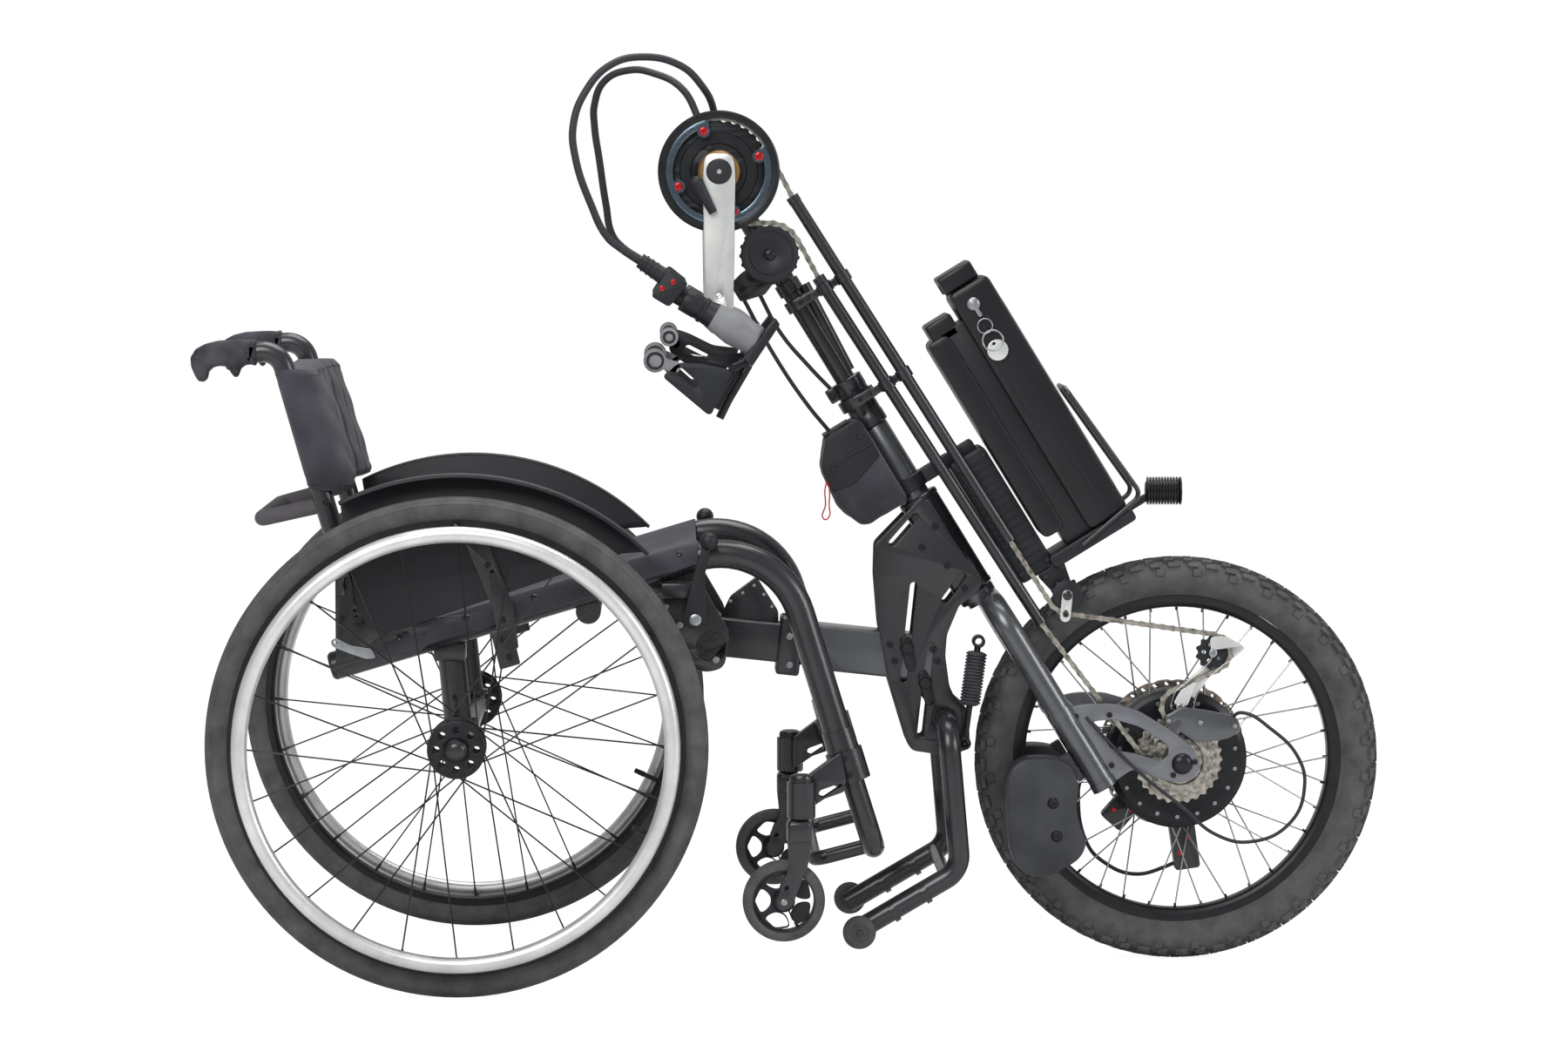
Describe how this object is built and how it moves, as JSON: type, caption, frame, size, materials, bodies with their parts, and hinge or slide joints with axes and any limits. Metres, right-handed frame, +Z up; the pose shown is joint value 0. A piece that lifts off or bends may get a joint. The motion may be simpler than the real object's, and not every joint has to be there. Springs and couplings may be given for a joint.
{
  "type": "handcycle",
  "caption": "Rigid manual wheelchair with a docked hybrid handbike: hand cranks, chain drive with derailleur, hub motor, battery, disc brake and swing-clear casters.",
  "frame": {"origin": "on the ground, under the middle of the vehicle's bounding box", "axes": "+X is the way it drives, +Y is the rider's left, +Z is up"},
  "size_m": [1.439, 0.6586, 1.112],
  "materials": {
    "black_paint": "satin black powder coat",
    "grey_paint": "gunmetal grey paint and anodising",
    "black_plastic": "fine-grained moulding",
    "rubber": "matt",
    "tyre": "dusty tread",
    "silver": "brushed and clear anodised",
    "steel": "bright nickel plating",
    "cloth": "woven nylon",
    "grey_grip": "soft-touch moulding"
  },
  "bodies": {
    "chair": {"chair_frame": "black_paint", "axle_tube": "black_paint", "seat_sling": "cloth", "side_guard_right": "black_plastic", "side_guard_left": "black_plastic", "footrest": "black_paint", "caster_housing_right": "black_paint", "caster_housing_left": "black_paint", "dock_frame": "black_paint", "dock_beam": "grey_paint", "side_plate_right": "black_paint", "side_plate_left": "black_paint", "head_tube": "black_paint", "stand": "black_paint"},
    "backrest": {"back_frame": "black_paint", "back_upholstery": "cloth", "push_grip_right": "rubber", "push_grip_left": "rubber"},
    "rear_right": {"rear_tyre_right": "tyre", "rear_wheel_right": "black_paint", "handrim_right": "silver"},
    "rear_left": {"rear_tyre_left": "tyre", "rear_wheel_left": "black_paint", "handrim_left": "silver"},
    "caster_right": {"caster_fork_right": "black_paint"},
    "caster_left": {"caster_fork_left": "black_paint"},
    "caster_roller_right": {"caster_wheel_right": "rubber"},
    "caster_roller_left": {"caster_wheel_left": "rubber"},
    "stand_roller_right": {"stand_wheel_right": "rubber"},
    "stand_roller_left": {"stand_wheel_left": "rubber"},
    "latch_right": {"dock_lever_right": "black_plastic"},
    "latch_left": {"dock_lever_left": "black_plastic"},
    "damper": {"steering_damper": "rubber"},
    "steering": {"fork": "grey_paint", "mast_upper": "black_paint", "chain_tubes": "black_paint", "chain": "steel", "battery_cradle": "black_plastic", "headlight": "black_paint", "bag": "cloth", "ballast_right": "black_paint", "ballast_left": "black_paint", "derailleur": "silver", "brake_caliper": "black_paint", "control_cable_right": "rubber", "control_cable_left": "rubber"},
    "battery_pack": {"battery": "black_plastic", "battery_handle": "black_plastic"},
    "front": {"front_tyre": "tyre", "front_wheel": "black_paint"},
    "sprockets": {"cassette": "steel"},
    "tensioner": {"chain_tensioner": "black_plastic"},
    "idler": {"idler_pulley": "black_plastic"},
    "guide": {"guide_pulley": "black_plastic"},
    "tension": {"tension_pulley": "black_plastic"},
    "crank": {"crankset": "silver", "chainring": "black_paint", "chain_guard": "black_paint"},
    "hand_right": {"grip_right": "grey_grip"},
    "hand_left": {"grip_left": "grey_grip"}
  },
  "joints": [
    {"name": "backrest_fold", "type": "hinge", "parent": "chair", "child": "backrest", "pos_m": [-0.52148, 0, 0.434], "axis": [0, 1, 0], "range_deg": [0, 75]},
    {"name": "rear_right_spin", "type": "hinge", "parent": "chair", "child": "rear_right", "pos_m": [-0.40447, -0.29, 0.295], "axis": [0, 1, 0], "continuous": true},
    {"name": "rear_left_spin", "type": "hinge", "parent": "chair", "child": "rear_left", "pos_m": [-0.40447, 0.29, 0.295], "axis": [0, 1, 0], "continuous": true},
    {"name": "caster_right_swivel", "type": "hinge", "parent": "chair", "child": "caster_right", "pos_m": [0.00052, -0.245, 0.228], "axis": [0, 0, 1], "continuous": true},
    {"name": "caster_left_swivel", "type": "hinge", "parent": "chair", "child": "caster_left", "pos_m": [0.00052, 0.245, 0.228], "axis": [0, 0, 1], "continuous": true},
    {"name": "caster_right_roll", "type": "hinge", "parent": "caster_right", "child": "caster_roller_right", "pos_m": [-0.02017, -0.245, 0.107], "axis": [0, 1, 0], "continuous": true},
    {"name": "caster_left_roll", "type": "hinge", "parent": "caster_left", "child": "caster_roller_left", "pos_m": [-0.02017, 0.245, 0.107], "axis": [0, 1, 0], "continuous": true},
    {"name": "stand_right_roll", "type": "hinge", "parent": "chair", "child": "stand_roller_right", "pos_m": [0.07352, -0.1475, 0.054], "axis": [0, 1, 0], "continuous": true},
    {"name": "stand_left_roll", "type": "hinge", "parent": "chair", "child": "stand_roller_left", "pos_m": [0.07352, 0.1475, 0.054], "axis": [0, 1, 0], "continuous": true},
    {"name": "dock_right_latch", "type": "hinge", "parent": "chair", "child": "latch_right", "pos_m": [-0.12448, -0.23, 0.44], "axis": [0, 1, 0], "range_deg": [0, 80]},
    {"name": "dock_left_latch", "type": "hinge", "parent": "chair", "child": "latch_left", "pos_m": [-0.12448, 0.23, 0.44], "axis": [0, 1, 0], "range_deg": [0, 80]},
    {"name": "steering_turn", "type": "hinge", "parent": "chair", "child": "steering", "pos_m": [0.38142, 0, 0.1944], "axis": [-0.5225, 0, 0.8526], "range_deg": [-35, 35], "stiffness_Nm_per_rad": 30},
    {"name": "damper_tilt", "type": "hinge", "parent": "chair", "child": "damper", "pos_m": [0.20553, -0.055, 0.273], "axis": [0, 1, 0], "range_deg": [-16, 16]},
    {"name": "battery_slide", "type": "slide", "parent": "steering", "child": "battery_pack", "axis": [-0.5225, 0, 0.8526], "range_m": [0, 0.25]},
    {"name": "front_wheel_spin", "type": "hinge", "parent": "steering", "child": "front", "pos_m": [0.47053, 0, 0.249], "axis": [0, 1, 0], "continuous": true},
    {"name": "crank_spin", "type": "hinge", "parent": "steering", "child": "crank", "pos_m": [-0.09405, 0, 0.9703], "axis": [0, 1, 0], "continuous": true, "deforming": ["control_cable_right", "control_cable_left"]},
    {"name": "cassette_spin", "type": "hinge", "parent": "steering", "child": "sprockets", "pos_m": [0.47053, 0, 0.249], "axis": [0, 1, 0], "continuous": true},
    {"name": "tensioner_spin", "type": "hinge", "parent": "steering", "child": "tensioner", "pos_m": [-0.03239, -0.045, 0.86969], "axis": [0, 1, 0], "continuous": true},
    {"name": "idler_spin", "type": "hinge", "parent": "steering", "child": "idler", "pos_m": [0.33166, -0.045, 0.45359], "axis": [0, 1, 0], "continuous": true},
    {"name": "guide_spin", "type": "hinge", "parent": "steering", "child": "guide", "pos_m": [0.47016, -0.045, 0.31563], "axis": [0, 1, 0], "continuous": true},
    {"name": "tension_spin", "type": "hinge", "parent": "steering", "child": "tension", "pos_m": [0.51018, -0.045, 0.38237], "axis": [0, 1, 0], "continuous": true},
    {"name": "grip_right_spin", "type": "hinge", "parent": "crank", "child": "hand_right", "pos_m": [-0.09405, -0.128, 0.7923], "axis": [0, 1, 0], "continuous": true},
    {"name": "grip_left_spin", "type": "hinge", "parent": "crank", "child": "hand_left", "pos_m": [-0.09405, 0.128, 0.7923], "axis": [0, 1, 0], "continuous": true}
  ],
  "couplings": [
    {"joint": "damper_tilt", "follows": "steering_turn", "ratio": 0.45},
    {"joint": "cassette_spin", "follows": "crank_spin", "ratio": 2},
    {"joint": "tensioner_spin", "follows": "crank_spin", "ratio": -1.6842},
    {"joint": "idler_spin", "follows": "crank_spin", "ratio": -2.9091},
    {"joint": "guide_spin", "follows": "crank_spin", "ratio": -2.9091},
    {"joint": "tension_spin", "follows": "crank_spin", "ratio": 2.9091},
    {"joint": "grip_right_spin", "follows": "crank_spin", "ratio": -1},
    {"joint": "grip_left_spin", "follows": "crank_spin", "ratio": -1}
  ]
}
